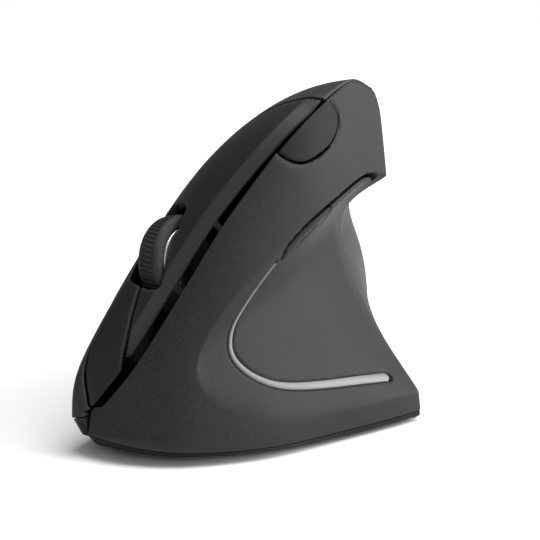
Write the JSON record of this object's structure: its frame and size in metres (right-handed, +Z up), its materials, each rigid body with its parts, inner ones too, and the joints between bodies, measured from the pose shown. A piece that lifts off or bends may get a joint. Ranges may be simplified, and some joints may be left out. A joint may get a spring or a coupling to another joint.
{
  "type": "vertical mouse",
  "caption": "Right-handed vertical mouse: tall handshake body with a scooped thumb rest, two finger blades, a scroll wheel between them, side buttons and a flat base.",
  "frame": {"origin": "on the desk, under the middle of the box around the mouse", "axes": "+X to the right, +Y towards the nose, +Z up from the desk"},
  "size_m": [0.063, 0.1197, 0.075],
  "materials": {
    "soft_black": "soft-touch, fine grain",
    "inner_black": "plain moulded",
    "silver": "satin silver paint",
    "tyre_rubber": "ribbed",
    "steel": "plain",
    "board": "circuit board",
    "switch_grey": "moulded switch body",
    "plunger_ivory": "moulded",
    "foot_grey": "slippery glide pad",
    "cell": "printed cell sleeve without marks",
    "lens": "clear moulded lens"
  },
  "bodies": {
    "housing": {"left_shell": "soft_black", "palm_shell": "soft_black", "thumb_strip": "silver", "ridge_spine": "inner_black", "base_plate": "inner_black", "feet": "foot_grey", "base_screws": "steel", "battery_holder": "inner_black", "battery": "cell", "battery_contacts": "steel", "main_pcb": "board", "sensor": "switch_grey", "sensor_lens": "lens", "power_switch": "switch_grey", "inner_frame": "inner_black", "switch_pcb": "board", "left_microswitch": "switch_grey", "right_microswitch": "switch_grey", "wheel_guides": "inner_black", "wheel_encoder": "switch_grey", "wheel_switch": "switch_grey", "side_pcb": "board", "side_switches": "switch_grey", "dpi_pcb": "board", "dpi_switch": "switch_grey"},
    "left_blade": {"left_button": "soft_black", "left_plunger": "plunger_ivory"},
    "right_blade": {"right_button": "soft_black", "right_plunger": "plunger_ivory"},
    "dpi_key": {"dpi_button": "soft_black", "dpi_plunger": "plunger_ivory"},
    "forward_key": {"forward_button": "soft_black", "forward_plunger": "plunger_ivory"},
    "back_key": {"back_button": "soft_black", "back_plunger": "plunger_ivory"},
    "wheel_carrier": {"wheel_yoke": "steel", "wheel_plunger": "plunger_ivory"},
    "wheel": {"wheel_axle": "steel", "wheel_hub": "inner_black", "wheel_tyre": "tyre_rubber", "wheel_caps": "silver"},
    "power_key": {"power_slider": "silver"},
    "door": {"battery_door": "inner_black"}
  },
  "joints": [
    {"name": "left_press", "type": "hinge", "parent": "housing", "child": "left_blade", "pos_m": [0.00771, 0.00034, 0.06353], "axis": [-0.9453, 0.2135, 0.2466], "range_deg": [0, 0.75], "stiffness_Nm_per_rad": 1.5},
    {"name": "right_press", "type": "hinge", "parent": "housing", "child": "right_blade", "pos_m": [0.02258, 0.00119, 0.04834], "axis": [-0.9453, 0.2135, 0.2466], "range_deg": [0, 0.75], "stiffness_Nm_per_rad": 1.5},
    {"name": "dpi_press", "type": "slide", "parent": "housing", "child": "dpi_key", "axis": [0.737, -0.4556, -0.4994], "range_m": [0, 0.0006], "stiffness_N_per_m": 500},
    {"name": "forward_press", "type": "slide", "parent": "housing", "child": "forward_key", "axis": [0.8038, 0.0675, 0.5911], "range_m": [0, 0.0006], "stiffness_N_per_m": 500},
    {"name": "back_press", "type": "slide", "parent": "housing", "child": "back_key", "axis": [0.8038, 0.0675, 0.5911], "range_m": [0, 0.0006], "stiffness_N_per_m": 500},
    {"name": "wheel_click", "type": "slide", "parent": "housing", "child": "wheel_carrier", "axis": [-0.3262, -0.6188, -0.7146], "range_m": [0, 0.0005], "stiffness_N_per_m": 800},
    {"name": "wheel_spin", "type": "hinge", "parent": "wheel_carrier", "child": "wheel", "pos_m": [0.01801, 0.02818, 0.0374], "axis": [0.9453, -0.2135, -0.2466], "continuous": true},
    {"name": "power_slide", "type": "slide", "parent": "housing", "child": "power_key", "axis": [0, 1, 0], "range_m": [0, 0.003]},
    {"name": "door_slide", "type": "slide", "parent": "housing", "child": "door", "axis": [0, -1, 0], "range_m": [0, 0.0686]}
  ]
}
